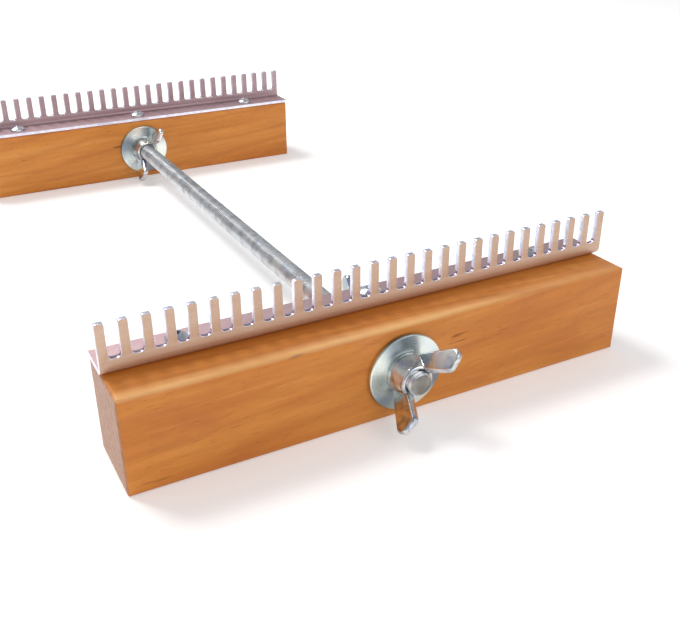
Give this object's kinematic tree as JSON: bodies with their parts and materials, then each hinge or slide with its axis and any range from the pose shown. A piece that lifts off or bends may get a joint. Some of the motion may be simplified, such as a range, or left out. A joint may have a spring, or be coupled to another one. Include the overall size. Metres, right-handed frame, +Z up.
{
  "type": "tapestry loom",
  "caption": "Small tabletop tapestry loom: two wooden bars with slotted metal combs, held apart by a threaded rod and clamped with wing nuts and washers.",
  "frame": {"origin": "on the table, below the middle of the threaded rod: the centre of the bottom of the loom's box", "axes": "+X along the bars to the right, +Y along the rod from the front bar to the rear bar, +Z up"},
  "size_m": [0.1738, 0.3311, 0.047],
  "materials": {
    "bar_wood": "oiled cherry, satin",
    "comb_aluminium": "satin, bare",
    "rod_zinc": "zinc plated, rolled thread",
    "washer_zinc": "bright zinc plated",
    "nut_zinc": "bright zinc plated, cold forged",
    "screw_zinc": "bright zinc plated"
  },
  "bodies": {
    "rod": {"threaded_rod": "rod_zinc"},
    "front_bar": {"front_bar": "bar_wood", "front_comb": "comb_aluminium", "front_comb_screw_left": "screw_zinc", "front_comb_screw_middle": "screw_zinc", "front_comb_screw_right": "screw_zinc"},
    "front_inner_washer": {"front_inner_washer": "washer_zinc"},
    "front_inner_wing_nut": {"front_inner_wing_nut": "nut_zinc"},
    "front_outer_washer": {"front_outer_washer": "washer_zinc"},
    "front_outer_wing_nut": {"front_outer_wing_nut": "nut_zinc"},
    "rear_bar": {"rear_bar": "bar_wood", "rear_comb": "comb_aluminium", "rear_comb_screw_left": "screw_zinc", "rear_comb_screw_middle": "screw_zinc", "rear_comb_screw_right": "screw_zinc"},
    "rear_inner_washer": {"rear_inner_washer": "washer_zinc"},
    "rear_inner_wing_nut": {"rear_inner_wing_nut": "nut_zinc"},
    "rear_outer_washer": {"rear_outer_washer": "washer_zinc"},
    "rear_outer_wing_nut": {"rear_outer_wing_nut": "nut_zinc"}
  },
  "joints": [
    {"name": "front_bar_travel", "type": "slide", "parent": "rod", "child": "front_inner_washer", "axis": [0, 1, 0], "range_m": [0, 0.0987]},
    {"name": "front_inner_nut_spin", "type": "hinge", "parent": "front_inner_washer", "child": "front_inner_wing_nut", "pos_m": [0, -0.114, 0.0155], "axis": [0, 1, 0], "range_deg": [0, 25200]},
    {"name": "front_bar_swivel", "type": "hinge", "parent": "front_inner_washer", "child": "front_bar", "pos_m": [0, -0.13545, 0.0155], "axis": [0, 1, 0], "continuous": true},
    {"name": "front_outer_washer_travel", "type": "slide", "parent": "rod", "child": "front_outer_washer", "axis": [0, -1, 0], "range_m": [0, 0.00705]},
    {"name": "front_outer_nut_spin", "type": "hinge", "parent": "front_outer_washer", "child": "front_outer_wing_nut", "pos_m": [0, -0.157, 0.0155], "axis": [0, -1, 0], "range_deg": [0, 1800]},
    {"name": "rear_bar_travel", "type": "slide", "parent": "rod", "child": "rear_inner_washer", "axis": [0, -1, 0], "range_m": [0, 0.0987]},
    {"name": "rear_inner_nut_spin", "type": "hinge", "parent": "rear_inner_washer", "child": "rear_inner_wing_nut", "pos_m": [0, 0.114, 0.0155], "axis": [0, -1, 0], "range_deg": [0, 25200]},
    {"name": "rear_bar_swivel", "type": "hinge", "parent": "rear_inner_washer", "child": "rear_bar", "pos_m": [0, 0.13545, 0.0155], "axis": [0, 1, 0], "continuous": true},
    {"name": "rear_outer_washer_travel", "type": "slide", "parent": "rod", "child": "rear_outer_washer", "axis": [0, 1, 0], "range_m": [0, 0.00705]},
    {"name": "rear_outer_nut_spin", "type": "hinge", "parent": "rear_outer_washer", "child": "rear_outer_wing_nut", "pos_m": [0, 0.157, 0.0155], "axis": [0, 1, 0], "range_deg": [0, 1800]}
  ],
  "couplings": [
    {"joint": "front_inner_nut_spin", "follows": "front_bar_travel", "rad_per_m": 4452.6},
    {"joint": "front_outer_nut_spin", "follows": "front_outer_washer_travel", "rad_per_m": 4452.6},
    {"joint": "rear_inner_nut_spin", "follows": "rear_bar_travel", "rad_per_m": 4452.6},
    {"joint": "rear_outer_nut_spin", "follows": "rear_outer_washer_travel", "rad_per_m": 4452.6}
  ]
}
